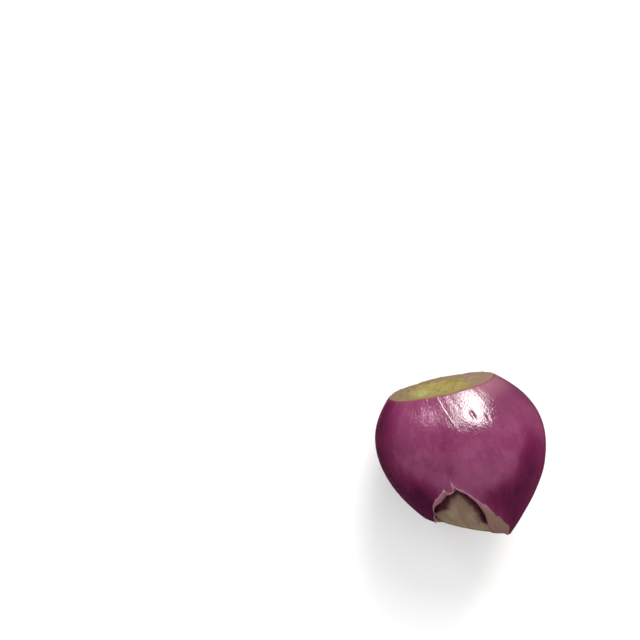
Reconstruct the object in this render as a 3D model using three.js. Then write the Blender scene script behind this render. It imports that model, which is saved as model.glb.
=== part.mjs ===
// A peeled pink shallot, trimmed at both ends and lying on its side, in millimetres.
//
// Three pieces make it up:
//   outer_scale  the thick pink fleshy scale, open where each end was cut, its lip torn at the neck
//   inner_bulb   the pale scales inside it, seen through the tear and on both cut faces
//   basal_plate  the yellow-green disc that the scales grow from, trimmed flat
//
// The bulb is made along its own axis. A station runs from the root cut towards the neck, and an
// angle goes round the axis from the side (+X) over the top. The finished bulb is then tipped a
// little and set down, so that the flat spot under its belly lies on z = 0 with the origin at its
// centre. +Y points to the root end and +Z is up.

import * as THREE from 'three';

// Size of the bulb
const BELLY_HALF_WIDTH = 18.85;
const HEIGHT_TO_WIDTH = 0.93;
const BELLY_STATION = 13.3;
const ROOT_REACH = 21;
const ROOT_FULLNESS = 2.2;
const NECK_REACH = 27.1;
const NECK_FULLNESS = 1.87;

// The axis bends a little to one side on its way to the neck
const BEND_WIDTH = 1.45;
const BEND_STATION = 6.1;
const BEND_LENGTH = 12.2;

// Low ridges that run from root to neck
const RIDGES = [
  { count: 5, height: 0.006, turn: 0.4 },
  { count: 9, height: 0.004, turn: 1.9 },
];

// The two knife cuts: where each crosses the axis, how far it slants across the bulb, and how far
// it leans with height
const ROOT_CUT = { station: -0.05, slant: 0.03, lean: 0.03 };
const NECK_CUT = { station: 33, slant: 0.495, lean: -0.05 };

// Thickness of the outer scale in its middle and at its ends, and the gap under it
const SCALE_THICKNESS = 1.9;
const SCALE_ROOT_THICKNESS = 1.2;
const SCALE_NECK_THICKNESS = 1.3;
const FIT_GAP = 0.32;
const LIFTED_GAP = 0.5;
const LIFT_START = 15;
const LIFT_END = 23;

// The torn lip: angle in degrees and station, first of the skin, then of the flesh under it
const TEAR_START = 52;
const TEAR_END = 150;
const TORN_SKIN = [
  [52, 35.6], [62, 32.6], [74, 30.5], [83, 28.3], [87.5, 26.5], [90.5, 25.1], [94, 24.3],
  [97, 23.0], [100.5, 21.7], [103.5, 20.3], [106, 20.0], [109, 20.4], [116.5, 20.3], [118, 19.2],
  [124, 20.7], [132, 22.5], [136, 24.0], [141, 26.0], [147, 28.0],
];
const TORN_FLESH = [
  [52, 35.6], [90, 33.2], [92.5, 30.8], [94, 28.4], [96, 26.2], [98.5, 24.5], [102.5, 22.9],
  [106.5, 21.5], [110.5, 20.0], [119, 21.1], [127, 22.7], [140, 24.6], [145.5, 25.8], [149, 27.8],
];

// The basal plate in the root cut
const PLATE_HALF_WIDTH = 6.4;
const PLATE_HALF_HEIGHT = 7;
const PLATE_CENTRE = [-1.6, 0.8];
const PLATE_DEPTH = 3.4;
const PLATE_TAPER = 0.6;
const PLATE_DISH = 0.35;

// Grooves between the inner scales, as fractions of the cut face
const NECK_GROOVES = [0.74, 0.5, 0.27];
const GROOVE_HALF_WIDTH = 0.02;
const GROOVE_LIP = 0.025;
const GROOVE_DEPTH = 0.5;

// How the bulb lies
const REST_TILT = THREE.MathUtils.degToRad(4);
const REST_STATION = 14;
const REST_FLAT_DEPTH = 0.6;

// Mesh steps
const PLAIN_STEP = 8;
const TEAR_STEP = 2.6;
const INNER_COLUMNS = 48;
const PLATE_COLUMNS = 32;
const LIP_STATION = 18.5;
const SKIN_ROWS = [9, 7];
const LINING_ROWS = [6, 6];
const CORE_ROWS = [7, 6];

const radians = THREE.MathUtils.degToRad;

function halfWidth(station) {
  const fromBelly = station - BELLY_STATION;
  const reach = fromBelly < 0 ? ROOT_REACH : NECK_REACH;
  const fullness = fromBelly < 0 ? ROOT_FULLNESS : NECK_FULLNESS;
  return BELLY_HALF_WIDTH * (1 - Math.pow(Math.abs(fromBelly) / reach, fullness));
}

function axisBend(station) {
  return BEND_WIDTH * Math.tanh((station - BEND_STATION) / BEND_LENGTH);
}

function ridgeHeight(angle) {
  let height = 1;
  for (const ridge of RIDGES) {
    height += ridge.height * Math.cos(ridge.count * angle + ridge.turn);
  }
  return height;
}

function scaleThickness(station) {
  const toRoot = THREE.MathUtils.smoothstep(BELLY_STATION - station, 0, BELLY_STATION);
  const toNeck = THREE.MathUtils.smoothstep(station - BELLY_STATION, 0, BELLY_STATION);
  const thinned = THREE.MathUtils.lerp(SCALE_THICKNESS, SCALE_ROOT_THICKNESS, toRoot);
  return THREE.MathUtils.lerp(thinned, SCALE_NECK_THICKNESS, toNeck);
}

function coreDepth(station) {
  const lift = THREE.MathUtils.smoothstep(station, LIFT_START, LIFT_END);
  return scaleThickness(station) + THREE.MathUtils.lerp(FIT_GAP, LIFTED_GAP, lift);
}

// A point at a station and an angle, a given depth under the skin. Local x goes across, local y
// runs from neck to root, so that it is minus the station, and local z is up.
function pointUnderSkin(station, angle, depth) {
  const step = 0.01;
  const slope = (halfWidth(station + step) - halfWidth(station - step)) / (2 * step);
  const length = Math.hypot(1, slope);
  const radius = halfWidth(station) * ridgeHeight(angle) - depth / length;
  const x = axisBend(station) + radius * Math.cos(angle);
  const z = HEIGHT_TO_WIDTH * radius * Math.sin(angle);
  return new THREE.Vector3(x, -(station + (depth * slope) / length), z);
}

function cutStation(cut, x, z) {
  return cut.station + cut.slant * x + cut.lean * z;
}

// Straight runs between the listed corners of a torn edge; past them the edge is the neck cut
function tornStation(edge, angle) {
  const degrees = THREE.MathUtils.radToDeg(angle);
  for (let i = 1; i < edge.length; i += 1) {
    const [fromAngle, fromStation] = edge[i - 1];
    const [toAngle, toStation] = edge[i];
    if (degrees >= fromAngle && degrees <= toAngle) {
      const part = (degrees - fromAngle) / (toAngle - fromAngle);
      return THREE.MathUtils.lerp(fromStation, toStation, part);
    }
  }
  return Infinity;
}

// The station whose point under the skin just reaches a limit
function stationWhere(isPast, nearStation, farStation) {
  let near = nearStation;
  let far = farStation;
  for (let i = 0; i < 40; i += 1) {
    const middle = (near + far) / 2;
    if (isPast(middle)) {
      far = middle;
    } else {
      near = middle;
    }
  }
  return (near + far) / 2;
}

// Points along one meridian: even rows from the root cut to the lip station, then even rows from
// there to the neck cut or the torn edge
function meridian(angle, depthAt, [bodyRows, lipRows], edge) {
  const point = (station) => pointUnderSkin(station, angle, depthAt(station));
  const pastRoot = (station) => {
    const place = point(station);
    return -place.y > cutStation(ROOT_CUT, place.x, place.z);
  };
  const torn = edge ? tornStation(edge, angle) : Infinity;
  const pastNeck = (station) => {
    const place = point(station);
    return -place.y > Math.min(cutStation(NECK_CUT, place.x, place.z), torn);
  };
  const first = stationWhere(pastRoot, -6, BELLY_STATION);
  const last = stationWhere(pastNeck, LIP_STATION, 39);
  const points = [];
  for (let row = 0; row < bodyRows; row += 1) {
    points.push(point(THREE.MathUtils.lerp(first, LIP_STATION, row / bodyRows)));
  }
  for (let row = 0; row <= lipRows; row += 1) {
    points.push(point(THREE.MathUtils.lerp(LIP_STATION, last, row / lipRows)));
  }
  return points;
}

// Turns a list of meridians, one for each column, into a list of rings, one for each row
function ringsFrom(meridians) {
  return meridians[0].map((unused, row) => meridians.map((points) => points[row]));
}

// A closed body from rings that all have the same number of points. A ring of one point is a
// pole that closes an end, and where there are no poles the last ring joins the first.
function bodyFromRings(rings) {
  const columns = Math.max(...rings.map((ring) => ring.length));
  const starts = [];
  const positions = [];
  for (const ring of rings) {
    starts.push(positions.length / 3);
    ring.forEach((place) => positions.push(place.x, place.y, place.z));
  }
  const corner = (row, column) => {
    const ring = rings[row];
    return starts[row] + (ring.length === 1 ? 0 : column % columns);
  };
  const isPoled = rings[0].length === 1;
  const triangles = [];
  const addTriangle = (a, b, c) => {
    if (a !== b && b !== c && c !== a) {
      triangles.push(a, b, c);
    }
  };
  const lastRow = isPoled ? rings.length - 1 : rings.length;
  for (let row = 0; row < lastRow; row += 1) {
    const next = (row + 1) % rings.length;
    for (let column = 0; column < columns; column += 1) {
      const a = corner(row, column);
      const b = corner(next, column);
      const c = corner(next, column + 1);
      const d = corner(row, column + 1);
      addTriangle(a, c, b);
      addTriangle(a, d, c);
    }
  }
  const geometry = new THREE.BufferGeometry();
  geometry.setAttribute('position', new THREE.Float32BufferAttribute(positions, 3));
  geometry.setIndex(triangles);
  geometry.computeVertexNormals();
  return geometry;
}

function evenAngles(columns) {
  return Array.from({ length: columns }, (unused, column) => (2 * Math.PI * column) / columns);
}

// Columns stand closer together across the tear, where the edge is jagged
function outerAngles() {
  const angles = [];
  const tearColumns = Math.round((TEAR_END - TEAR_START) / TEAR_STEP);
  for (let column = 0; column < tearColumns; column += 1) {
    angles.push(radians(THREE.MathUtils.lerp(TEAR_START, TEAR_END, column / tearColumns)));
  }
  const plainArc = 360 - (TEAR_END - TEAR_START);
  const plainColumns = Math.round(plainArc / PLAIN_STEP);
  for (let column = 0; column < plainColumns; column += 1) {
    angles.push(radians(TEAR_END + (plainArc * column) / plainColumns));
  }
  return angles;
}

// Height of the resting bulb's axis origin, and the local height of the surface it lies on
const restHalfHeight = HEIGHT_TO_WIDTH * halfWidth(REST_STATION);
const restPosition = new THREE.Vector3(
  -axisBend(REST_STATION),
  REST_STATION * Math.cos(REST_TILT) - restHalfHeight * Math.sin(REST_TILT),
  REST_STATION * Math.sin(REST_TILT) + restHalfHeight * Math.cos(REST_TILT) - REST_FLAT_DEPTH,
);

function pressFlat(place) {
  const floor = (-restPosition.z - place.y * Math.sin(REST_TILT)) / Math.cos(REST_TILT);
  place.z = Math.max(place.z, floor);
  return place;
}

function outerScaleGeometry() {
  const angles = outerAngles();
  const skin = ringsFrom(angles.map(
    (angle) => meridian(angle, () => 0, SKIN_ROWS, TORN_SKIN).map(pressFlat),
  ));
  const lining = ringsFrom(angles.map(
    (angle) => meridian(angle, scaleThickness, LINING_ROWS, TORN_FLESH),
  ));
  return bodyFromRings([...skin, ...lining.reverse()]);
}

// One ring of the plate or of the recess that holds it, at a depth behind the root cut
function plateRing(angles, scale, growth, depth) {
  return angles.map((angle) => {
    const x = PLATE_CENTRE[0] + (PLATE_HALF_WIDTH * scale + growth) * Math.cos(angle);
    const z = PLATE_CENTRE[1] + (PLATE_HALF_HEIGHT * scale + growth) * Math.sin(angle);
    return new THREE.Vector3(x, -(cutStation(ROOT_CUT, x, z) + depth), z);
  });
}

function platePole(depth) {
  const [x, z] = PLATE_CENTRE;
  return [new THREE.Vector3(x, -(cutStation(ROOT_CUT, x, z) + depth), z)];
}

// The cut neck face: rings that shrink to its middle, with a groove between each pair of scales
function neckFace(rim) {
  const middle = new THREE.Vector3(axisBend(NECK_CUT.station), 0, 0);
  middle.y = -cutStation(NECK_CUT, middle.x, middle.z);
  const ring = (fraction, depth) => rim.map((place) => {
    const moved = middle.clone().lerp(place, fraction);
    moved.y += depth;
    return moved;
  });
  const rings = [];
  for (const groove of NECK_GROOVES) {
    const wall = GROOVE_HALF_WIDTH + GROOVE_LIP;
    rings.push(ring(groove + wall, 0));
    rings.push(ring(groove + GROOVE_HALF_WIDTH, GROOVE_DEPTH));
    rings.push(ring(groove - GROOVE_HALF_WIDTH, GROOVE_DEPTH));
    rings.push(ring(groove - wall, 0));
  }
  return [...rings, [middle]];
}

function innerBulbGeometry() {
  const angles = evenAngles(INNER_COLUMNS);
  const side = ringsFrom(angles.map((angle) => meridian(angle, coreDepth, CORE_ROWS, null)));
  const recess = [
    platePole(PLATE_DEPTH + FIT_GAP),
    plateRing(angles, PLATE_TAPER, FIT_GAP, PLATE_DEPTH + FIT_GAP),
    plateRing(angles, 1, FIT_GAP, 0),
  ];
  return bodyFromRings([...recess, ...side, ...neckFace(side.at(-1))]);
}

function basalPlateGeometry() {
  const angles = evenAngles(PLATE_COLUMNS);
  return bodyFromRings([
    platePole(PLATE_DISH),
    plateRing(angles, 0.35, 0, PLATE_DISH),
    plateRing(angles, 0.75, 0, PLATE_DISH / 3),
    plateRing(angles, 1, 0, 0),
    plateRing(angles, PLATE_TAPER, 0, PLATE_DEPTH),
    platePole(PLATE_DEPTH),
  ]);
}

function piece(name, geometry, colour, roughness) {
  const material = new THREE.MeshStandardMaterial({ color: colour, roughness, metalness: 0 });
  const mesh = new THREE.Mesh(geometry, material);
  mesh.name = name;
  return mesh;
}

const bulb = new THREE.Group();
bulb.add(piece('outer_scale', outerScaleGeometry(), 0x8b4268, 0.3));
bulb.add(piece('inner_bulb', innerBulbGeometry(), 0xcbbd9f, 0.45));
bulb.add(piece('basal_plate', basalPlateGeometry(), 0xb4a460, 0.6));
bulb.rotation.x = REST_TILT;
bulb.position.copy(restPosition);

const shallot = new THREE.Group();
shallot.add(bulb);

export default shallot;
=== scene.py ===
"""A peeled pink shallot on its side: finely modelled scales, root plate and torn lip."""

import math

import bpy
import numpy as np
from mathutils import Matrix, Vector


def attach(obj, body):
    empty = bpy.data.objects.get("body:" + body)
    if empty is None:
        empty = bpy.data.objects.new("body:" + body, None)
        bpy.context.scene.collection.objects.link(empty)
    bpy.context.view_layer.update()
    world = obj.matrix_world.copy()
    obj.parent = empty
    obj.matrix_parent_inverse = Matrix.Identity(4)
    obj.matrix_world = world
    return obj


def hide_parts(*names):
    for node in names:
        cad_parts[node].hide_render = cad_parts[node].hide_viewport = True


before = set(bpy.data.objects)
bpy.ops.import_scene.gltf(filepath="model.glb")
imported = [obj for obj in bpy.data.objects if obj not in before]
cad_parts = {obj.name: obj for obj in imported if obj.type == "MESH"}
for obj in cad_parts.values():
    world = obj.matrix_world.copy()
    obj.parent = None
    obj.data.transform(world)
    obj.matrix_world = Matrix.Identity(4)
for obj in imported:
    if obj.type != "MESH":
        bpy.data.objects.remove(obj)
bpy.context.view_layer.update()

MM = 0.001
FULL_TURN = 2 * math.pi

# The bulb's own shape, in millimetres: the same values as the solids are made from. A station runs
# along the bulb's axis from the root cut towards the neck, and an angle goes round it. Each ridge
# is a count round the bulb, a height as a part of the width, and a turn. Each knife cut is its
# station on the axis, its slant across the bulb and its lean with height.
BELLY_HALF_WIDTH = 18.85
HEIGHT_TO_WIDTH = 0.93
BELLY_STATION = 13.3
ROOT_REACH = 21.0
ROOT_FULLNESS = 2.2
NECK_REACH = 27.1
NECK_FULLNESS = 1.87
BEND_WIDTH = 1.45
BEND_STATION = 6.1
BEND_LENGTH = 12.2
RIDGES = [(5, 0.006, 0.4), (9, 0.004, 1.9)]
ROOT_CUT = (-0.05, 0.03, 0.03)
NECK_CUT = (33.0, 0.495, -0.05)
SCALE_THICKNESS = 1.9
SCALE_ROOT_THICKNESS = 1.2
SCALE_NECK_THICKNESS = 1.3
PLATE_HALF_WIDTH = 6.4
PLATE_HALF_HEIGHT = 7.0
PLATE_CENTRE = (-1.6, 0.8)
PLATE_DEPTH = 3.4
PLATE_TAPER = 0.6
REST_TILT = math.radians(4)
REST_STATION = 14.0
REST_FLAT_DEPTH = 0.6

# Where pieces meet: the room under the outer scale, and how much wider the recess is than the
# plate, which is less than 0 so that no gap shows between them
SCALE_JOIN = 0.04
PLATE_JOIN = -0.01

# The torn lip, corner by corner: angle in degrees and station, first of the skin, then of the
# flesh under it. It is finer than the lip of the solids.
TEAR_START = 52.0
TEAR_END = 156.0
TORN_SKIN = [
    (52, 35.6), (62, 32.6), (68, 31.7), (74, 30.5), (78, 29.2), (83, 28.3), (85.5, 27.1),
    (87.5, 26.5), (90.5, 25.1), (92.5, 24.8), (94, 24.3), (97, 23.0), (99, 22.0), (100.5, 21.7),
    (103.5, 20.3), (106, 20.0), (107.6, 19.2), (109.0, 18.0), (109.3, 17.9), (109.7, 18.6),
    (110.2, 20.3), (112.3, 20.4), (114.6, 20.3), (115.6, 19.5), (116.4, 19.3), (119, 20.2),
    (122, 20.8), (126, 21.5), (130, 22.6), (132.6, 23.4), (134.3, 24.1), (137, 25.4), (139.7, 26.0),
    (143, 26.9), (146.5, 28.0),
]
TORN_FLESH = [
    (52, 35.6), (88, 33.4), (91.3, 31.6), (91.6, 30.8), (92.4, 29.6), (92.5, 28.4), (93.8, 27.0),
    (95.4, 25.6), (98.5, 23.7), (100.5, 22.8), (102.5, 21.8), (106.5, 20.8), (108.5, 20.2),
    (110.5, 20.1), (114, 20.9), (119, 21.1), (123, 21.9), (127, 22.6), (131, 23.0), (135, 23.4),
    (139, 24.0), (143, 24.8), (146, 25.5), (149, 26.5), (152.5, 28.0),
]
NO_TEAR = 1000.0
TEETH_COUNTS = (70, 131, 223, 390)
TEETH_HEIGHT = 0.1
TEETH_FADE_START = 8.0
TEETH_FADE_END = 4.0
LIP_CURL = 0.22
LIP_CURL_LENGTH = 0.9
LIP_BULGE = 0.09
LIP_ROUGHNESS = 0.03
LIP_STATION = 17.0
LIP_RADIUS = BELLY_HALF_WIDTH * 0.75
FOOT_ROUGHNESS = 0.004
THIN_RIM = (84.0, 89.0)
WIDE_RIM_OFFSET = 0.4

# The hollow under the lip: a groove along the torn edge, wider in a pocket at one side of the arch.
# The pocket starts over a range of angles and ends near a station. Past the stations of JOINED the
# flesh lies on the inner scales again, so the groove ends.
LIP_GROOVE = 0.7
LIP_GROOVE_REACH = 0.8
POCKET = (118.0, 130.0)
POCKET_END = 26.4
POCKET_END_FADE = 1.5
PAST_POCKET = (-0.5, 0.8)
POCKET_SPREAD = 0.9
JOINED = (30.6, 33.2)
HOLLOW_END = 3.0

# The surface of the inner scales
INNER_SEEN = (16.0, 20.0)
INNER_VEIN_HEIGHT = 0.008
INNER_SWELL_HEIGHT = 0.03
INNER_SINK = 0.04
TUCK_STATION = 3.0
TUCK_LENGTH = 2.0
COLLAR_EVENING = 0.7
COLLAR_ROUGHNESS = 0.006

# The neck's cut: its rows and its ring grooves as parts of its width, the waves round it that bend
# the rings (count, size, turn), and the low hollow in its middle
NECK_PARTS = (0.985, 0.03)
NECK_ROWS = 76
NECK_RINGS = (0.87, 0.71, 0.52, 0.36, 0.2)
NECK_RING_DEPTH = 0.42
NECK_RING_WIDTH = 0.018
NECK_BENDS = [(1, 0.06, 0.6), (2, 0.05, 1.0), (3, 0.03, 2.2), (5, 0.014, 0.4), (9, 0.006, 1.3)]
NECK_HOLLOW_DEPTH = 0.25
NECK_HOLLOW_PART = 0.3
NECK_ROUGHNESS = 0.012

# The lumps of the plate, and the green area in the middle of the root cut
LUMP_WAVES = 24
LUMP_RATES = (0.8, 4.0)
LUMP_HEIGHT = 0.12
GREEN_CENTRE = (-1.2, 2.6)
GREEN_HALF_SIZE = (6.6, 9.4)

# Mesh steps
TEAR_STEP = 0.3
PLAIN_STEP = 1.25
SKIN_ROWS = (88, 58)
LINING_ROWS = (6, 8)
LIP_PARTS = (0.12, 0.25, 0.38, 0.5, 0.62, 0.75, 0.88)
FOOT_PARTS = (0.02, 0.3, 0.65, 0.95)
INNER_ROWS = (40, 70)
INNER_COLUMNS = 380
COLLAR_PARTS = [0.004, *np.linspace(0, 1, 26)[1:-1], 0.996]
PLATE_COLUMNS = 220
PLATE_PARTS = [*np.linspace(0.03, 0.98, 45), 0.996, 1.0]
RECESS_STEPS = ((0.02, 1.0), (PLATE_TAPER, 1.0), (0.8, 0.5), (1.0, 0.0))
PLATE_SIDE_STEPS = ((0.8, 0.5), (PLATE_TAPER, 1.0), (0.03, 1.0))
SEARCH_START = -6.0
SEARCH_END = 39.0
HALVINGS = 40

# What the materials read where a point has no such distance or station
FAR = 99.0
NECK_FACE_STATION = 40.0

SEED = 11


# Shape

def smoothstep(value, low, high):
    part = np.clip((value - low) / (high - low), 0, 1)
    return part * part * (3 - 2 * part)


def half_width(station):
    from_belly = station - BELLY_STATION
    reach = np.where(from_belly < 0, ROOT_REACH, NECK_REACH)
    fullness = np.where(from_belly < 0, ROOT_FULLNESS, NECK_FULLNESS)
    return BELLY_HALF_WIDTH * (1 - (np.abs(from_belly) / reach) ** fullness)


def axis_bend(station):
    return BEND_WIDTH * np.tanh((station - BEND_STATION) / BEND_LENGTH)


def ridge_height(angle):
    height = np.ones_like(angle)
    for count, size, turn in RIDGES:
        height = height + size * np.cos(count * angle + turn)
    return height


def scale_thickness(station):
    to_root = smoothstep(BELLY_STATION - station, 0, BELLY_STATION)
    to_neck = smoothstep(station - BELLY_STATION, 0, BELLY_STATION)
    thinned = SCALE_THICKNESS + (SCALE_ROOT_THICKNESS - SCALE_THICKNESS) * to_root
    return thinned + (SCALE_NECK_THICKNESS - thinned) * to_neck


def inner_depth(station):
    return scale_thickness(station) + SCALE_JOIN


def under_skin(station, angle, depth, relief=0.0):
    """A local point: x across, y minus the station, z up, at a depth under the skin."""
    step = 0.01
    slope = (half_width(station + step) - half_width(station - step)) / (2 * step)
    length = np.hypot(1, slope)
    radius = half_width(station) * ridge_height(angle) + (relief - depth) / length
    x = axis_bend(station) + radius * np.cos(angle)
    z = HEIGHT_TO_WIDTH * radius * np.sin(angle)
    y = -(station + (depth - relief) * slope / length)
    return np.stack([x, y, z], axis=-1)


def cut_station(cut, x, z):
    station, slant, lean = cut
    return station + slant * x + lean * z


def torn_edge(corners, angles, rng):
    """The torn edge's station at each angle: the listed corners, with small teeth between."""
    degrees = np.degrees(angles)
    listed, along = np.array(corners, float).T
    edge = np.interp(degrees, listed, along, left=NO_TEAR, right=NO_TEAR)
    teeth = np.zeros_like(angles)
    coarsest = TEETH_COUNTS[0]
    for count in TEETH_COUNTS:
        turn = rng.uniform(0, FULL_TURN)
        height = TEETH_HEIGHT * coarsest / (coarsest + count)
        teeth = teeth + height * np.cos(count * angles + turn)
    fade = smoothstep(degrees, TEAR_START, TEAR_START + TEETH_FADE_START)
    fade = fade * smoothstep(TEAR_END - degrees, 0, TEETH_FADE_END)
    return edge + teeth * fade


def is_torn(edge):
    return edge < NO_TEAR / 2


def lip_distance(angles, stations):
    """How far each point is from the torn edge of the flesh, in millimetres."""
    degrees, along = np.array(TORN_FLESH[1:], float).T
    corner = np.stack([np.radians(degrees) * LIP_RADIUS, along], axis=-1)
    across = np.broadcast_to(angles * LIP_RADIUS, stations.shape)
    place = np.stack([across, stations], axis=-1)
    nearest = np.full(stations.shape, FAR)
    for start, end in zip(corner[:-1], corner[1:]):
        run = end - start
        part = np.clip(((place - start) @ run) / (run @ run), 0, 1)
        away = np.linalg.norm(place - start - part[..., None] * run, axis=-1)
        nearest = np.minimum(nearest, away)
    return nearest


def station_where(is_past, near, far):
    for _ in range(HALVINGS):
        middle = (near + far) / 2
        past = is_past(middle)
        far = np.where(past, middle, far)
        near = np.where(past, near, middle)
    return (near + far) / 2


def station_rows(angles, depth_at, rows, edge):
    """Stations of each meridian: rows between the root cut, the lip station and the far edge."""
    def past_root(station):
        place = under_skin(station, angles, depth_at(station))
        return -place[:, 1] > cut_station(ROOT_CUT, place[:, 0], place[:, 2])

    def past_end(station):
        place = under_skin(station, angles, depth_at(station))
        neck = cut_station(NECK_CUT, place[:, 0], place[:, 2])
        return -place[:, 1] > np.minimum(neck, edge)

    blank = np.zeros_like(angles)
    first = station_where(past_root, blank + SEARCH_START, blank + BELLY_STATION)
    last = station_where(past_end, blank + LIP_STATION, blank + SEARCH_END)
    body_rows, lip_rows = rows
    body = np.linspace(0, 1, body_rows, endpoint=False)[:, None]
    lip = np.linspace(0, 1, lip_rows + 1)[:, None]
    return np.concatenate([
        first + (LIP_STATION - first) * body,
        LIP_STATION + (last - LIP_STATION) * lip,
    ])


# Fine relief

def wave_field(rng, angle_counts, station_rates, waves):
    """Several smooth waves round and along the bulb, as a function of angle and station."""
    terms = []
    for _ in range(waves):
        count = int(rng.integers(*angle_counts))
        rate = rng.uniform(*station_rates)
        terms.append((count, rate, rng.uniform(0, FULL_TURN), rng.uniform(0.4, 1)))
    total = math.sqrt(sum(term[3] ** 2 for term in terms))

    def field(angle, station):
        value = np.zeros(np.broadcast(angle, station).shape)
        for count, rate, turn, size in terms:
            value = value + size * np.cos(count * angle + rate * station + turn)
        return value / total
    return field


def degrees_from(middle, degrees):
    """How far each angle is from the middle one, between -180 and 180."""
    return (degrees - middle + 180) % 360 - 180


# Creases that start at the root cut: angle in degrees and its drift for each millimetre, length,
# width in degrees, height
CREASES = [
    (100.0, -1.0, 11.0, 0.7, 0.075), (103.5, -0.8, 6.0, 1.8, -0.05), (110.5, 0.1, 9.0, 0.8, 0.07),
    (116.0, 0.2, 7.0, 2.4, 0.07), (88.0, -0.6, 5.0, 2.2, -0.05), (60.0, -0.3, 6.0, 2.6, -0.06),
    (129.0, 0.2, 7.0, 2.6, 0.06), (143.0, 0.2, 6.0, 2.4, -0.07), (35.0, 0.0, 6.0, 2.5, 0.08),
    (10.0, 0.0, 6.0, 3.0, -0.1), (170.0, 0.2, 6.0, 3.0, 0.1), (200.0, 0.0, 7.0, 3.0, -0.12),
    (225.0, -0.2, 6.0, 2.0, 0.12), (250.0, 0.0, 7.0, 2.0, -0.14), (280.0, 0.3, 6.0, 2.0, 0.14),
    (305.0, 0.0, 7.0, 2.4, -0.12), (335.0, 0.0, 6.0, 2.4, 0.1),
]


def crease_relief(angle, station):
    degrees = np.degrees(angle)
    relief = np.zeros(np.broadcast(angle, station).shape)
    for middle, drift, length, width, height in CREASES:
        off = degrees_from(middle + drift * station, degrees)
        along = smoothstep(length - station, 0, length)
        relief = relief + height * np.exp(-((off / width) ** 2)) * along
    return relief


# Small dents: angle in degrees, station, half width and half length in millimetres, depth
DENTS = [
    (78.0, 5.2, 0.42, 1.2, 0.22), (69.0, 6.7, 0.3, 0.7, 0.1), (103.0, 9.0, 0.22, 0.3, -0.12),
    (68.0, 9.7, 0.25, 0.3, -0.04), (102.4, 2.7, 0.4, 0.4, -0.05), (85.0, 3.0, 0.3, 0.5, 0.03),
    (96.0, 10.4, 0.6, 0.9, 0.03), (88.0, 14.5, 0.7, 1.2, 0.03), (58.0, 12.5, 0.6, 1.0, 0.03),
]
DENT_RADIUS = BELLY_HALF_WIDTH * 0.8


def dent_relief(angle, station):
    degrees = np.degrees(angle)
    relief = np.zeros(np.broadcast(angle, station).shape)
    for middle, along, half_wide, half_long, depth in DENTS:
        across = np.radians(degrees - middle) * DENT_RADIUS / half_wide
        relief = relief - depth * np.exp(-(across ** 2) - ((station - along) / half_long) ** 2)
    return relief


VEIN_HEIGHT = 0.003
SWELL_HEIGHT = 0.06
RIPPLE_HEIGHT = 0.014


def skin_relief(rng):
    veins = wave_field(rng, (38, 120), (-0.12, 0.12), 16)
    swells = wave_field(rng, (2, 9), (0.15, 0.45), 9)
    ripples = wave_field(rng, (10, 26), (0.5, 1.4), 14)

    def relief(angle, station):
        value = VEIN_HEIGHT * veins(angle, station) + SWELL_HEIGHT * swells(angle, station)
        value = value + RIPPLE_HEIGHT * ripples(angle, station)
        return value + crease_relief(angle, station) + dent_relief(angle, station)
    return relief


# Darker lengthwise bands, partly the skin's own deeper purple and partly painted shade where the
# sides turn away from the light: middle in degrees, half width in degrees, how far each drifts and
# widens for each millimetre past its start, the stations where it starts and is full, and for some
# also where it begins to fade and ends, strength
DARK_AND_SHADE_BANDS = [
    (168.0, 25.0, 0.0, 0.0, (0, 12), 0.95), (170.0, 22.0, 0.0, 0.0, (-4, 1, 5, 9), 0.9),
    (140.0, 18.0, 0.0, 0.5, (12, 22), 1.0), (40.0, 12.5, 0.75, 0.25, (8, 18), 0.72),
    (73.0, 19.0, 0.0, 0.0, (18, 24, 24, 34), 0.74), (14.0, 24.0, 0.0, 0.5, (11, 22), 0.72),
    (215.0, 26.0, 0.0, 0.3, (2, 16), 0.6), (262.0, 18.0, 0.0, 0.3, (8, 22), 0.8),
    (312.0, 20.0, 0.0, 0.4, (4, 18), 0.5), (99.0, 8.0, 0.6, 0.1, (1, 6, 15, 20), 0.22),
    (153.0, 14.0, 0.0, 0.0, (18, 23), 0.85), (96.0, 6.0, 0.0, 0.0, (-4, 1, 4, 7), 0.2),
]


def band_strength(station, limits):
    begin, full, *end = limits
    along = smoothstep(station, begin, full)
    if end:
        fade, gone = end
        along = along * smoothstep(gone - station, 0, gone - fade)
    return along


# Partly the skin's own deeper purple, partly painted shade where the sides turn from the light
def skin_dark_and_shade(angle, station):
    degrees = np.degrees(angle)
    light = np.ones(np.broadcast(angle, station).shape)
    for middle, half_wide, drift, widening, limits, strength in DARK_AND_SHADE_BANDS:
        past = np.maximum(station - limits[0], 0)
        off = degrees_from(middle + drift * past, degrees)
        across = np.exp(-((off / (half_wide + widening * past)) ** 2))
        light = light * (1 - strength * across * band_strength(station, limits))
    return 1 - light


# Placing and meshing

REST_HALF_HEIGHT = HEIGHT_TO_WIDTH * float(half_width(np.array(REST_STATION)))
TILT_COS = math.cos(REST_TILT)
TILT_SIN = math.sin(REST_TILT)
REST_PLACE = np.array([
    -float(axis_bend(REST_STATION)),
    REST_STATION * TILT_COS - REST_HALF_HEIGHT * TILT_SIN,
    REST_STATION * TILT_SIN + REST_HALF_HEIGHT * TILT_COS - REST_FLAT_DEPTH,
])


def to_frame(place):
    """Local millimetres to the shared frame in metres."""
    x, y, z = place[..., 0], place[..., 1], place[..., 2]
    turned = np.stack([x, y * TILT_COS - z * TILT_SIN, y * TILT_SIN + z * TILT_COS], axis=-1)
    return (turned + REST_PLACE) * MM


def press_flat(points):
    points[..., 2] = np.maximum(points[..., 2], 0)
    return points


def ring_faces(index, slots, closed):
    """Four-sided faces from each row of points to the next, and the material slot of each."""
    rows, columns = index.shape
    ahead = np.roll(index, -1, axis=1)
    faces = []
    face_slots = []
    for row in range(rows if closed else rows - 1):
        after = (row + 1) % rows
        quads = np.stack([index[row], ahead[row], ahead[after], index[after]], axis=-1)
        faces += quads.tolist()
        face_slots += [slots[row]] * columns
    return faces, face_slots


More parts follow.
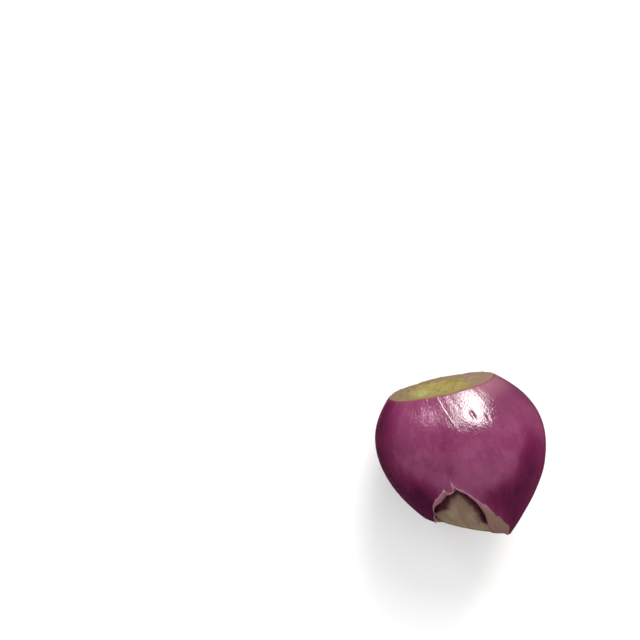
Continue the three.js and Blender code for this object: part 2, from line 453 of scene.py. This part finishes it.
def end_faces(ring, middle, forward):
    """Three-sided faces from an end row to its middle point."""
    ahead = np.roll(ring, -1)
    first, second = (ring, ahead) if forward else (ahead, ring)
    return np.stack([first, second, np.full_like(ring, middle)], axis=-1).tolist()


def mesh_from_rings(name, rings, facts, slots, closed):
    """One closed piece. rings is (rows, columns, 3); where it isn't closed, a middle point is
    added at each end. facts are float attributes of the same rows and columns, and slots gives
    each row of faces its material."""
    rows, columns = rings.shape[:2]
    count = rows * columns
    index = np.arange(count).reshape(rows, columns)
    verts = rings.reshape(count, 3)
    values = {key: value.reshape(count) for key, value in facts.items()}
    faces, face_slots = ring_faces(index, slots, closed)
    if not closed:
        ends = [0, rows - 1]
        verts = np.concatenate([verts, rings[ends].mean(axis=1)])
        for key, value in facts.items():
            values[key] = np.concatenate([values[key], value[ends].mean(axis=1)])
        faces += end_faces(index[0], count, False) + end_faces(index[-1], count + 1, True)
        face_slots += [slots[0]] * columns + [slots[-1]] * columns
    return add_piece(name, verts, faces, face_slots, values)


def add_piece(name, verts, faces, face_slots, values):
    mesh = bpy.data.meshes.new(name)
    mesh.from_pydata(verts.tolist(), [], faces)
    mesh.polygons.foreach_set("material_index", face_slots)
    mesh.polygons.foreach_set("use_smooth", [True] * len(faces))
    for key, value in values.items():
        attribute = mesh.attributes.new(key, "FLOAT", "POINT")
        attribute.data.foreach_set("value", value.tolist())
    mesh.update()
    piece = bpy.data.objects.new(name, mesh)
    bpy.context.scene.collection.objects.link(piece)
    return piece


def pattern_facts(angles, stations, edge, cut):
    """What the materials read: place round and along the bulb, distance from a cut or torn
    edge, and cut, which is how far a point lies on the torn or root cut, or on the neck's cut 2
    and its place between the middle and the rim."""
    shape = stations.shape
    return {
        "around_x": np.broadcast_to(np.cos(angles), shape),
        "around_z": np.broadcast_to(np.sin(angles), shape),
        "station": stations,
        "edge": np.broadcast_to(edge, shape),
        "cut": np.broadcast_to(cut, shape),
    }


def add_root_facts(facts, rings):
    """Adds each point's place across the root cut and how far it is from the middle of the green
    area, where that area's edge is 1."""
    facts["across"] = rings[..., 0]
    facts["height"] = rings[..., 2]
    across = (rings[..., 0] - GREEN_CENTRE[0]) / GREEN_HALF_SIZE[0]
    height = (rings[..., 2] - GREEN_CENTRE[1]) / GREEN_HALF_SIZE[1]
    facts["core"] = np.hypot(across, height)


def add_partial_fact(facts, name, first_row, values, elsewhere):
    """Adds a fact that only some rows have, with one value elsewhere."""
    facts[name] = np.full(facts["station"].shape, elsewhere)
    facts[name][first_row:first_row + len(values)] = values


def stacked(parts):
    keys = parts[0].keys()
    return {key: np.concatenate([part[key] for part in parts]) for key in keys}


# The outer scale

def outer_angles():
    tear = np.arange(TEAR_START, TEAR_END, TEAR_STEP)
    plain = np.arange(TEAR_END, 360 + TEAR_START, PLAIN_STEP)
    return np.radians(np.concatenate([tear, plain])) % FULL_TURN


def lip_curl(stations, edge):
    """How far the torn lip curls outward: most at its edge, and not at all away from the tear."""
    return LIP_CURL * is_torn(edge) * np.exp((stations - stations[-1]) / LIP_CURL_LENGTH)


def rim_rows(start, finish, parts, bulge, rng, roughness):
    """Rows across a cut or torn rim between two edges, a little rounded and rough, and the part
    of the way that each row is at."""
    parts = np.array(parts)[:, None, None]
    rows = start + (finish - start) * parts
    outward = start * np.array([1.0, 0.0, 1.0])
    outward = outward / np.linalg.norm(outward, axis=-1, keepdims=True)
    noise = rng.normal(0, roughness, rows.shape[:2])
    noise = (noise + np.roll(noise, 1, axis=1) + np.roll(noise, -1, axis=1)) / 3
    wide = np.linalg.norm(finish - start, axis=-1, keepdims=True)
    lift = bulge * wide * np.sin(math.pi * parts) + noise[..., None]
    return rows + outward * lift, parts[..., 0]


def outer_facts(angles, skin_stations, lining_stations, skin_edge, lip_part, foot_part):
    """The facts of the skin, the lip, the lining from the lip back to the root, and the foot."""
    lip_stations = skin_stations[-1] + (lining_stations[-1] - skin_stations[-1]) * lip_part
    foot_stations = lining_stations[0] * np.ones_like(foot_part)
    thin_rim = smoothstep(np.degrees(angles), *THIN_RIM)
    from_tear = np.where(is_torn(skin_edge), skin_stations[-1] - skin_stations, FAR)
    from_tear = from_tear + WIDE_RIM_OFFSET * (1 - thin_rim)
    return stacked([
        pattern_facts(angles, skin_stations, from_tear, 0),
        pattern_facts(angles, lip_stations, 0, lip_part),
        pattern_facts(angles, lining_stations[::-1], 0, 1),
        pattern_facts(angles, foot_stations, 0, 1 - foot_part),
    ])


def make_outer_scale():
    rng = np.random.default_rng(SEED)
    relief = skin_relief(rng)
    angles = outer_angles()
    skin_edge = torn_edge(TORN_SKIN, angles, rng)
    flesh_edge = torn_edge(TORN_FLESH, angles, rng)

    stations = station_rows(angles, np.zeros_like, SKIN_ROWS, skin_edge)
    high = relief(angles, stations) + lip_curl(stations, skin_edge)
    skin = under_skin(stations, angles, 0 * stations, high)
    inside = station_rows(angles, scale_thickness, LINING_ROWS, flesh_edge)
    lining = under_skin(inside, angles, scale_thickness(inside), lip_curl(inside, flesh_edge))
    lip, lip_part = rim_rows(skin[-1], lining[-1], LIP_PARTS, LIP_BULGE, rng, LIP_ROUGHNESS)
    foot, foot_part = rim_rows(lining[0], skin[0], FOOT_PARTS, 0.0, rng, FOOT_ROUGHNESS)
    rings = np.concatenate([skin, lip, lining[::-1], foot])

    facts = outer_facts(angles, stations, inside, skin_edge, lip_part, foot_part)
    add_root_facts(facts, rings)
    # The dark bands, partly painted shade
    add_partial_fact(facts, "dark", 0, skin_dark_and_shade(angles, stations), 0.0)
    add_partial_fact(facts, "from_root", 0, stations - stations[0], FAR)
    skin_faces = len(skin) - 1
    slots = [0] * skin_faces + [1] * (len(rings) - skin_faces)
    return mesh_from_rings("pink_scale", press_flat(to_frame(rings)), facts, slots, True)


# The basal plate

def lump_field(rng):
    """Low lumps across the root cut, as a function of the place on it."""
    waves = []
    for _ in range(LUMP_WAVES):
        turn = rng.uniform(0, FULL_TURN)
        rate = rng.uniform(*LUMP_RATES)
        start = rng.uniform(0, FULL_TURN)
        waves.append((rate * math.cos(turn), rate * math.sin(turn), start, LUMP_HEIGHT / rate))

    def field(x, z):
        return sum(size * np.cos(along * x + up * z + start) for along, up, start, size in waves)
    return field


def shared_lumps():
    """The same lumps for the plate and the collar round it, so that they meet."""
    return lump_field(np.random.default_rng(SEED + 2))


def plate_ring(angles, scale, join, depth):
    """A ring at a part of the plate's size, wider by the join, and a depth under the root cut."""
    x = PLATE_CENTRE[0] + (PLATE_HALF_WIDTH * scale + join) * np.cos(angles)
    z = PLATE_CENTRE[1] + (PLATE_HALF_HEIGHT * scale + join) * np.sin(angles)
    return np.stack([x, -(cut_station(ROOT_CUT, x, z) + depth), z], axis=-1)


def make_basal_plate():
    angles = np.linspace(0, FULL_TURN, PLATE_COLUMNS, endpoint=False)
    lumps = shared_lumps()
    rows = []
    for part in PLATE_PARTS:
        ring = plate_ring(angles, part, 0, 0)
        ring[:, 1] -= lumps(ring[:, 0], ring[:, 2])
        rows.append(ring)
    for scale, depth in PLATE_SIDE_STEPS:
        rows.append(plate_ring(angles, scale, 0, PLATE_DEPTH * depth))
    rings = np.array(rows)
    part = np.array([*PLATE_PARTS, *[1.0] * len(PLATE_SIDE_STEPS)])[:, None]
    facts = pattern_facts(angles, np.zeros(rings.shape[:2]), 1 - part, 1)
    add_root_facts(facts, rings)
    slots = [0] * (len(rings) - 1)
    return mesh_from_rings("root_plate", to_frame(rings), facts, slots, False)


# The inner scales

def hollow_distance(angles, stations):
    """The distance from the torn edge that shapes the hollow under the lip and sets its painted
    shade: shorter in the pocket, and longer past its end and where the flesh joins the inner scales."""
    pocket_side = smoothstep(np.degrees(angles), *POCKET)
    pocket = pocket_side * smoothstep(POCKET_END - stations, 0, POCKET_END_FADE)
    past_pocket = pocket_side * smoothstep(stations - POCKET_END, *PAST_POCKET)
    joined = smoothstep(stations, *JOINED) * (1 - pocket)
    distance = lip_distance(angles, stations) / (1 + POCKET_SPREAD * pocket)
    return distance + HOLLOW_END * (past_pocket + joined)


def inner_side(angles, stations, from_lip, fine):
    """The side of the inner scales, with the groove under the lip, from root cut to neck cut."""
    groove = LIP_GROOVE * np.exp(-((from_lip / LIP_GROOVE_REACH) ** 2))
    high = smoothstep(stations, *INNER_SEEN) * (fine - INNER_SINK - groove)
    tucked = SCALE_JOIN * smoothstep(TUCK_STATION - stations, 0, TUCK_LENGTH)
    side = under_skin(stations, angles, inner_depth(stations) - tucked, high)
    side[0, :, 1] = -cut_station(ROOT_CUT, side[0, :, 0], side[0, :, 2])
    return side


def recess_rows(angles, lumps):
    """The hole for the basal plate, from its floor out to the uneven root cut."""
    depth = PLATE_DEPTH + PLATE_JOIN
    rows = [plate_ring(angles, scale, PLATE_JOIN, depth * part) for scale, part in RECESS_STEPS]
    rows[-1][:, 1] -= lumps(rows[-1][:, 0], rows[-1][:, 2])
    return np.array(rows)


def collar_rows(start, finish, lumps, rng):
    """The cut face of the scales round the plate, as uneven as the plate where they meet."""
    parts = np.array(COLLAR_PARTS)[:, None, None]
    rows = start + (finish - start) * parts
    flat = -cut_station(ROOT_CUT, rows[..., 0], rows[..., 2])
    uneven = lumps(rows[..., 0], rows[..., 2]) * (1 - parts[..., 0]) ** COLLAR_EVENING
    rows[..., 1] = flat - uneven + rng.normal(0, COLLAR_ROUGHNESS, rows.shape[:2])
    return rows


def neck_face_rows(rim, angles, rng):
    """The cut neck: rows that shrink to its middle, with a groove where two scales meet. Also
    gives each point's place between the middle and the rim, bent as the scales are."""
    middle = rim.mean(axis=0)
    middle[1] = -cut_station(NECK_CUT, middle[0], middle[2])
    parts = np.linspace(*NECK_PARTS, NECK_ROWS)[:, None]
    rows = middle + (rim - middle) * parts[..., None]
    bend = sum(size * np.cos(count * angles + turn) for count, size, turn in NECK_BENDS)
    place = parts + bend * parts * (1 - parts ** 4)
    sink = NECK_HOLLOW_DEPTH * smoothstep(NECK_HOLLOW_PART - place, 0, NECK_HOLLOW_PART)
    for ring in NECK_RINGS:
        sink = sink + NECK_RING_DEPTH * np.exp(-(((place - ring) / NECK_RING_WIDTH) ** 2))
    rows[..., 1] += sink + rng.normal(0, NECK_ROUGHNESS, sink.shape)
    return rows, place


def make_inner_bulb():
    rng = np.random.default_rng(SEED + 1)
    angles = np.linspace(0, FULL_TURN, INNER_COLUMNS, endpoint=False)
    veins = wave_field(rng, (30, 90), (-0.05, 0.05), 14)
    swells = wave_field(rng, (2, 7), (0.1, 0.3), 6)

    stations = station_rows(angles, inner_depth, INNER_ROWS, NO_TEAR)
    from_lip = hollow_distance(angles, stations)
    fine = INNER_VEIN_HEIGHT * veins(angles, stations)
    fine = fine + INNER_SWELL_HEIGHT * swells(angles, stations)
    side = inner_side(angles, stations, from_lip, fine)
    lumps = shared_lumps()
    recess = recess_rows(angles, lumps)
    collar = collar_rows(recess[-1], side[0], lumps, rng)
    neck, neck_place = neck_face_rows(side[-1], angles, rng)
    rings = np.concatenate([recess, collar, side, neck])

    facts = stacked([
        pattern_facts(angles, np.zeros(recess.shape[:2]), 0, 1),
        pattern_facts(angles, np.zeros(collar.shape[:2]), 0, 1),
        pattern_facts(angles, stations, stations[-1] - stations, 0),
        pattern_facts(angles, np.full(neck.shape[:2], NECK_FACE_STATION), 0, 2 + neck_place),
    ])
    add_root_facts(facts, rings)
    # The distance that places the painted shade under the lip
    add_partial_fact(facts, "lip", len(recess) + len(collar), from_lip, FAR)
    slots = [0] * (len(rings) - 1)
    return mesh_from_rings("inner_scales", to_frame(rings), facts, slots, False)


# Materials

def linear(red, green, blue):
    """A colour given in the usual 0 to 255 steps, as light."""
    values = []
    for step in (red, green, blue):
        part = step / 255
        values.append(part / 12.92 if part <= 0.04045 else ((part + 0.055) / 1.055) ** 2.4)
    return (*values, 1.0)


SKIN_PINK = linear(131, 58, 94)
SKIN_STREAK = linear(138, 66, 102)
SKIN_BLOTCH = linear(119, 46, 84)
SKIN_VEIN = linear(104, 34, 74)
SKIN_PALE = linear(152, 86, 118)
# Painted shade near the root and painted light towards the neck, not the skin's own colour
SKIN_NEAR_ROOT_SHADE = linear(104, 46, 76)
SKIN_NEAR_NECK_LIGHT = linear(148, 80, 114)
SKIN_PEELED = linear(148, 100, 112)
# Partly the skin's own deep purple, partly painted shade on the sides away from the light
SKIN_DARK_AND_SHADE = linear(102, 20, 64)
SKIN_DARKEST_AND_SHADE = linear(66, 2, 42)
SKIN_SPECK = linear(70, 18, 48)
SKIN_SHEEN = linear(150, 50, 100)
SKIN_CUT_RIM = linear(122, 60, 66)
SKIN_TORN_RIM = linear(176, 122, 140)
SCALES_LEFT = linear(122, 103, 76)
SCALES_RIGHT = linear(130, 106, 86)
SCALES_FIBRE = linear(100, 84, 64)
GREEN = linear(128, 114, 62)
GREEN_DULL = linear(122, 111, 60)
GREEN_PALE = linear(130, 130, 84)
GREEN_OLIVE = linear(112, 100, 36)
TORN_PINK = linear(154, 100, 118)
TORN_BEIGE = linear(132, 104, 88)
TORN_INSIDE = linear(132, 98, 92)
TORN_FIBRE = linear(112, 84, 72)
TORN_TIP = linear(186, 138, 156)
INNER_BEIGE = linear(140, 120, 98)
INNER_LINE = linear(128, 104, 86)
INNER_PATCH = linear(118, 94, 76)
INNER_END = linear(92, 88, 40)
# Painted shade in the hollow under the lip, partly the inner skin's own purple tint
HOLLOW_RIM_SHADE = linear(104, 66, 64)
HOLLOW_PAINTED_SHADE = linear(68, 14, 30)
NECK_MIDDLE = linear(150, 146, 84)
NECK_SCALES = linear(168, 150, 122)
NECK_RING = linear(110, 50, 84)
PLATE_SPECK = linear(92, 78, 30)

# How far red, green and blue light go into the skin and into the flesh, against each other
SKIN_SOFTNESS = (1.0, 0.35, 0.45)
FLESH_SOFTNESS = (1.0, 0.85, 0.6)


class Nodes:
    """A short way to write a material's node tree."""

    def __init__(self, name):
        self.material = bpy.data.materials.new(name)
        self.material.use_nodes = True
        self.tree = self.material.node_tree
        self.shader = self.tree.nodes["Principled BSDF"]

    def put(self, socket, value):
        if isinstance(value, bpy.types.NodeSocket):
            self.tree.links.new(value, socket)
        else:
            socket.default_value = value

    def add(self, kind, inputs=(), output=0, **settings):
        node = self.tree.nodes.new(kind)
        for key, value in settings.items():
            setattr(node, key, value)
        for key, value in dict(inputs).items():
            self.put(node.inputs[key], value)
        return node.outputs[output]

    def fact(self, name):
        return self.add("ShaderNodeAttribute", attribute_name=name, output=2)

    def object_place(self):
        return self.add("ShaderNodeTexCoord", output=3)

    def math(self, operation, first, second=0.0, third=0.0):
        values = {0: first, 1: second, 2: third}
        return self.add("ShaderNodeMath", values, operation=operation)

    def ramp(self, value, low, high, start=0.0, end=1.0):
        values = {"Value": value, "From Min": low, "From Max": high, "To Min": start, "To Max": end}
        return self.add("ShaderNodeMapRange", values, interpolation_type="SMOOTHSTEP")

    def mix(self, part, first, second):
        node = self.tree.nodes.new("ShaderNodeMix")
        node.data_type = "RGBA"
        self.put(node.inputs[0], part)
        self.put(node.inputs[6], first)
        self.put(node.inputs[7], second)
        return node.outputs[2]

    def noise(self, place, scale, detail=3.0, roughness=0.5):
        values = {"Vector": place, "Scale": scale, "Detail": detail, "Roughness": roughness}
        return self.add("ShaderNodeTexNoise", values)

    def cells(self, place, scale):
        return self.add("ShaderNodeTexVoronoi", {"Vector": place, "Scale": scale})

    def bulb_place(self, across, along):
        """Millimetres round and along the bulb, each stretched by its own factor."""
        reach = BELLY_HALF_WIDTH * across
        x = self.math("MULTIPLY", self.fact("around_x"), reach)
        z = self.math("MULTIPLY", self.fact("around_z"), reach)
        station = self.math("MULTIPLY", self.fact("station"), along)
        return self.add("ShaderNodeCombineXYZ", {0: x, 1: station, 2: z})

    def bump(self, height, strength, distance, normal=None):
        values = {"Strength": strength, "Distance": distance, "Height": height}
        if normal is not None:
            values["Normal"] = normal
        return self.add("ShaderNodeBump", values)

    def shade(self, **values):
        for key, value in values.items():
            self.put(self.shader.inputs[key.replace("_", " ")], value)

    def soft_flesh(self):
        """Light that goes a little way into the flesh, with no strong tint."""
        self.shade(Subsurface_Weight=0.2, Subsurface_Scale=0.0012)
        self.shade(Subsurface_Radius=FLESH_SOFTNESS)


def skin_colour(nodes, streaks, veins, blotches):
    """Pink with streaks, blotches and fine veins, painted shade near the root, painted light near the
    neck.
    """
    station = nodes.fact("station")
    around = nodes.fact("around_x")
    pale = nodes.noise(nodes.bulb_place(0.6, 0.3), 1.0, 3.0, 0.6)
    colour = nodes.mix(nodes.ramp(streaks, 0.35, 0.65), SKIN_PINK, SKIN_STREAK)
    colour = nodes.mix(nodes.ramp(blotches, 0.42, 0.6, 0, 0.7), colour, SKIN_BLOTCH)
    colour = nodes.mix(nodes.ramp(veins, 0.5, 0.7, 0, 0.18), colour, SKIN_VEIN)
    colour = nodes.mix(nodes.ramp(pale, 0.55, 0.75, 0, 0.28), colour, SKIN_PALE)
    # Painted shade near the root, on the side where the light falls strongest
    to_root = nodes.ramp(station, 14.0, 4.0, 0, 0.85)
    near_root_shade = nodes.math("MULTIPLY", nodes.ramp(around, -0.3, 0.25), to_root)
    colour = nodes.mix(near_root_shade, colour, SKIN_NEAR_ROOT_SHADE)
    # Painted light: paler towards the neck
    colour = nodes.mix(nodes.ramp(station, 13.0, 20.0, 0, 0.42), colour, SKIN_NEAR_NECK_LIGHT)
    peeled = nodes.math("MULTIPLY", nodes.ramp(station, 5.0, 0.5), nodes.ramp(around, 0, 0.4))
    return nodes.mix(nodes.math("MULTIPLY", peeled, 0.7), colour, SKIN_PEELED)


def darkened_and_shaded(nodes, colour, streaks, blotches):
    """The dark bands, partly painted shade, with an uneven edge, and small dark specks."""
    spotted = nodes.math("MULTIPLY_ADD", blotches, 0.3, -0.4)
    uneven = nodes.math("MULTIPLY_ADD", streaks, 0.5, spotted)
    dark = nodes.math("ADD", nodes.fact("dark"), uneven)
    colour = nodes.mix(nodes.ramp(dark, 0.0, 0.6), colour, SKIN_DARK_AND_SHADE)
    colour = nodes.mix(nodes.ramp(dark, 0.5, 1.0), colour, SKIN_DARKEST_AND_SHADE)
    specks = nodes.cells(nodes.bulb_place(0.8, 0.5), 1.0)
    return nodes.mix(nodes.ramp(specks, 0.11, 0.05, 0, 0.5), colour, SKIN_SPECK)


def skin_normal(nodes, veins):
    """Veins, low swells and fine crackle, which break up the highlights."""
    crackle = nodes.noise(nodes.bulb_place(3.4, 2.8), 1.0, 2.0, 0.55)
    swell = nodes.noise(nodes.bulb_place(1.0, 0.8), 1.0, 2.0, 0.5)
    normal = nodes.bump(veins, 0.3, 0.000015)
    normal = nodes.bump(swell, 0.3, 0.00014, normal)
    return nodes.bump(crackle, 0.6, 0.0001, normal)


def skin_material():
    nodes = Nodes("pink_skin")
    streaks = nodes.noise(nodes.bulb_place(0.7, 0.2), 1.0, 4.0, 0.6)
    veins = nodes.noise(nodes.bulb_place(4.0, 0.22), 1.0, 3.0, 0.6)
    blotches = nodes.noise(nodes.bulb_place(0.24, 0.2), 1.0, 4.0, 0.6)
    colour = skin_colour(nodes, streaks, veins, blotches)
    colour = darkened_and_shaded(nodes, colour, streaks, blotches)
    cut_rim = nodes.ramp(nodes.fact("from_root"), 0.55, 0.1, 0, 0.6)
    colour = nodes.mix(cut_rim, colour, SKIN_CUT_RIM)
    torn_rim = nodes.ramp(nodes.fact("edge"), 0.4, 0.1, 0, 0.8)
    nodes.shade(Base_Color=nodes.mix(torn_rim, colour, SKIN_TORN_RIM))
    nodes.shade(Roughness=0.38, Specular_IOR_Level=0.14)
    nodes.shade(Subsurface_Weight=0.12, Subsurface_Scale=0.0014)
    nodes.shade(Subsurface_Radius=SKIN_SOFTNESS)
    nodes.shade(Coat_Weight=1.0, Coat_Roughness=0.03, Coat_IOR=2.0)
    nodes.shade(Sheen_Weight=0.4, Sheen_Roughness=0.4, Sheen_Tint=SKIN_SHEEN)
    normal = skin_normal(nodes, veins)
    nodes.shade(Normal=normal, Coat_Normal=normal)
    return nodes.material


def spot(nodes, across, height, half_wide, half_high):
    """How far a point of the root cut is from a place on it, where the spot's edge is 1."""
    x = nodes.math("DIVIDE", nodes.math("SUBTRACT", nodes.fact("across"), across), half_wide)
    z = nodes.math("DIVIDE", nodes.math("SUBTRACT", nodes.fact("height"), height), half_high)
    squares = nodes.math("ADD", nodes.math("MULTIPLY", x, x), nodes.math("MULTIPLY", z, z))
    return nodes.math("SQRT", squares)


def root_colour(nodes, fibres):
    """The colour of the whole root cut: yellow-green middle, cream and pinkish scales round it."""
    place = nodes.object_place()
    wander = nodes.math("MULTIPLY_ADD", nodes.noise(place, 350.0, 3.0, 0.6), 0.7, -0.35)
    side = nodes.ramp(nodes.fact("across"), -6.0, 9.0)
    scales = nodes.mix(side, SCALES_LEFT, SCALES_RIGHT)
    scales = nodes.mix(nodes.ramp(fibres, 0.35, 0.7, 0, 0.5), scales, SCALES_FIBRE)
    middle = nodes.noise(place, 240.0, 4.0, 0.6)
    green = nodes.mix(nodes.ramp(middle, 0.38, 0.62), GREEN, GREEN_DULL)
    pale = nodes.math("ADD", spot(nodes, -4.6, 3.0, 2.2, 3.4), wander)
    green = nodes.mix(nodes.ramp(pale, 1.2, 0.5, 0, 0.8), green, GREEN_PALE)
    olive = nodes.math("ADD", spot(nodes, 3.4, -3.0, 1.8, 4.5), wander)
    green = nodes.mix(nodes.ramp(olive, 1.2, 0.6, 0, 0.8), green, GREEN_OLIVE)
    edge = nodes.math("ADD", nodes.fact("core"), wander)
    return nodes.mix(nodes.ramp(edge, 0.85, 1.15), green, scales)


def torn_colour(nodes, fibres, station):
    """The torn lip: pink, beige where it is wide, paler at the tip of the arch."""
    pink = nodes.mix(nodes.ramp(station, 24.5, 27.5), TORN_PINK, TORN_BEIGE)
    torn = nodes.mix(nodes.ramp(nodes.fact("cut"), 0.2, 0.8, 0, 0.8), pink, TORN_INSIDE)
    torn = nodes.mix(nodes.ramp(fibres, 0.4, 0.7, 0, 0.5), torn, TORN_FIBRE)
    return nodes.mix(nodes.ramp(station, 20.1, 19.6, 0, 0.9), torn, TORN_TIP)


def flesh_material():
    nodes = Nodes("torn_flesh")
    fibres = nodes.noise(nodes.bulb_place(2.4, 0.5), 1.0, 3.0, 0.6)
    station = nodes.fact("station")
    torn = torn_colour(nodes, fibres, station)
    colour = nodes.mix(nodes.ramp(station, 5.0, 2.5), torn, root_colour(nodes, fibres))
    nodes.shade(Base_Color=colour, Roughness=0.5, Specular_IOR_Level=0.3)
    nodes.soft_flesh()
    grain = nodes.noise(nodes.bulb_place(4.0, 3.0), 1.0, 3.0, 0.6)
    nodes.shade(Normal=nodes.bump(grain, 0.5, 0.0001, nodes.bump(fibres, 0.4, 0.0001)))
    return nodes.material


def inner_side_colour(nodes, lines):
    """Beige with fine lines, dark red painted shade under the lip, olive at the neck's rim."""
    soft = nodes.noise(nodes.bulb_place(0.5, 0.25), 1.0, 3.0, 0.5)
    colour = nodes.mix(nodes.ramp(lines, 0.35, 0.7, 0, 0.5), INNER_BEIGE, INNER_LINE)
    colour = nodes.mix(nodes.ramp(soft, 0.42, 0.62, 0, 0.7), colour, INNER_PATCH)
    # Painted shade in the hollow under the lip, partly the inner skin's own purple tint
    ragged = nodes.math("MULTIPLY_ADD", nodes.noise(nodes.bulb_place(0.7, 0.7), 1.0), 1.2, -0.6)
    lip = nodes.math("ADD", nodes.fact("lip"), ragged)
    colour = nodes.mix(nodes.ramp(lip, 4.0, 1.2, 0, 0.6), colour, HOLLOW_RIM_SHADE)
    colour = nodes.mix(nodes.ramp(lip, 2.5, 1.0, 0, 0.95), colour, HOLLOW_PAINTED_SHADE)
    return nodes.mix(nodes.ramp(nodes.fact("edge"), 0.7, 0.2, 0, 0.7), colour, INNER_END)


def neck_face_colour(nodes, place):
    """The neck's cut face: greenish in the middle, with a dark line in each groove."""
    colour = nodes.mix(nodes.ramp(place, 0.0, 0.4), NECK_MIDDLE, NECK_SCALES)
    for ring in NECK_RINGS:
        off = nodes.math("ABSOLUTE", nodes.math("SUBTRACT", place, ring))
        line = nodes.math("MULTIPLY", nodes.ramp(off, 0.035, 0.008), 0.75)
        colour = nodes.mix(line, colour, NECK_RING)
    return colour


def inner_material():
    nodes = Nodes("inner_flesh")
    lines = nodes.noise(nodes.bulb_place(2.4, 0.1), 1.0, 3.0, 0.5)
    cut = nodes.fact("cut")
    side = inner_side_colour(nodes, lines)
    colour = nodes.mix(nodes.ramp(cut, 0.5, 1.0), side, root_colour(nodes, lines))
    on_neck = nodes.math("GREATER_THAN", cut, 1.5)
    neck = neck_face_colour(nodes, nodes.math("SUBTRACT", cut, 2.0))
    colour = nodes.mix(on_neck, colour, neck)
    nodes.shade(Base_Color=colour, Roughness=0.5, Specular_IOR_Level=0.3)
    nodes.soft_flesh()
    grain = nodes.noise(nodes.bulb_place(5.0, 2.0), 1.0, 3.0, 0.6)
    nodes.shade(Normal=nodes.bump(grain, 0.35, 0.00006, nodes.bump(lines, 0.4, 0.00006)))
    return nodes.material


def plate_material():
    nodes = Nodes("root_plate")
    place = nodes.object_place()
    fibres = nodes.noise(place, 1400.0, 3.0, 0.6)
    blotches = nodes.noise(place, 500.0, 4.0, 0.6)
    specks = nodes.cells(place, 700.0)
    colour = nodes.mix(nodes.ramp(specks, 0.2, 0.1, 0, 0.25), root_colour(nodes, fibres), PLATE_SPECK)
    nodes.shade(Base_Color=colour, Roughness=0.7, Specular_IOR_Level=0.15)
    nodes.soft_flesh()
    nodes.shade(Normal=nodes.bump(fibres, 0.3, 0.00006, nodes.bump(blotches, 0.4, 0.00015)))
    return nodes.material


# Camera, light and floor

FOCAL_PIXELS = 1100.0
PICTURE_SIDE = 640
SENSOR_WIDTH = 36.0
CAMERA_ROLL = math.radians(-15.28)
CAMERA_PLACE = (-23.31 * MM, 34.18 * MM, 264.5 * MM)
CAMERA_NEAR = 0.01
CAMERA_FAR = 20


def make_camera():
    data = bpy.data.cameras.new("camera")
    data.sensor_width = SENSOR_WIDTH
    data.lens = FOCAL_PIXELS / PICTURE_SIDE * SENSOR_WIDTH
    data.clip_start = CAMERA_NEAR
    data.clip_end = CAMERA_FAR
    camera = bpy.data.objects.new("camera", data)
    camera.location = CAMERA_PLACE
    camera.rotation_euler = (0, 0, CAMERA_ROLL)
    bpy.context.scene.collection.objects.link(camera)
    bpy.context.scene.camera = camera


# Each light: name, direction in the picture (right, up, toward the camera), distance, width and
# height in metres, power in watts, colour
LIGHTS = [
    ("window", (0.18, 0.86, 0.47), 0.6, (0.26, 0.5), 4.2, (1, 0.985, 0.95)),
    ("side", (-0.58, 0.68, 0.45), 0.7, (0.04, 0.24), 0.36, (0.95, 0.97, 1)),
]
LIGHT_TARGET = Vector((0, 0, 17 * MM))

# The white surroundings light the bulb fully, but hardly show as a reflection in its skin
WORLD_STRENGTH = 0.95
WORLD_GLOSS = 0.012


def picture_direction(right, up, toward):
    """A direction in the picture, with toward the camera, as one in the frame."""
    turn = Matrix.Rotation(CAMERA_ROLL, 3, "Z")
    return (turn @ Vector((right, up, toward))).normalized()


def add_light(name, picture_place, distance, size, power, colour):
    direction = picture_direction(*picture_place)
    data = bpy.data.lights.new(name, "AREA")
    data.shape = "RECTANGLE"
    data.size, data.size_y = size
    data.energy = power
    data.color = colour
    light = bpy.data.objects.new(name, data)
    light.location = LIGHT_TARGET + direction * distance
    light.rotation_euler = (-direction).to_track_quat("-Z", "Y").to_euler()
    bpy.context.scene.collection.objects.link(light)


def make_world():
    world = bpy.data.worlds.new("studio")
    world.use_nodes = True
    tree = world.node_tree
    background = tree.nodes["Background"]
    background.inputs["Color"].default_value = (1, 1, 1, 1)
    path = tree.nodes.new("ShaderNodeLightPath")
    strength = tree.nodes.new("ShaderNodeMapRange")
    strength.inputs["To Min"].default_value = WORLD_STRENGTH
    strength.inputs["To Max"].default_value = WORLD_GLOSS
    tree.links.new(path.outputs["Is Glossy Ray"], strength.inputs["Value"])
    tree.links.new(strength.outputs[0], background.inputs["Strength"])
    bpy.context.scene.world = world
    bpy.context.scene.view_settings.view_transform = "Standard"


FLOOR_HALF_SIDE = 1.5
FLOOR_WHITE = (0.92, 0.92, 0.92, 1)
FLOOR_WHITER = (0.94, 0.94, 0.94, 1)


def make_floor():
    side = FLOOR_HALF_SIDE
    verts = [(-side, -side, 0), (side, -side, 0), (side, side, 0), (-side, side, 0)]
    mesh = bpy.data.meshes.new("floor")
    mesh.from_pydata(verts, [], [(0, 1, 2, 3)])
    floor = bpy.data.objects.new("floor", mesh)
    bpy.context.scene.collection.objects.link(floor)
    nodes = Nodes("pale_floor")
    tint = nodes.noise(nodes.object_place(), 3.0)
    nodes.shade(Base_Color=nodes.mix(tint, FLOOR_WHITE, FLOOR_WHITER), Roughness=0.9)
    mesh.materials.append(nodes.material)
    floor.visible_glossy = False


# Putting it together

def dress():
    outer = make_outer_scale()
    outer.data.materials.append(skin_material())
    outer.data.materials.append(flesh_material())
    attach(outer, "root")
    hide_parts("outer_scale")
    inner = make_inner_bulb()
    inner.data.materials.append(inner_material())
    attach(inner, "root")
    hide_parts("inner_bulb")
    plate = make_basal_plate()
    plate.data.materials.append(plate_material())
    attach(plate, "root")
    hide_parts("basal_plate")


make_camera()
for light in LIGHTS:
    add_light(*light)
make_world()
make_floor()
dress()

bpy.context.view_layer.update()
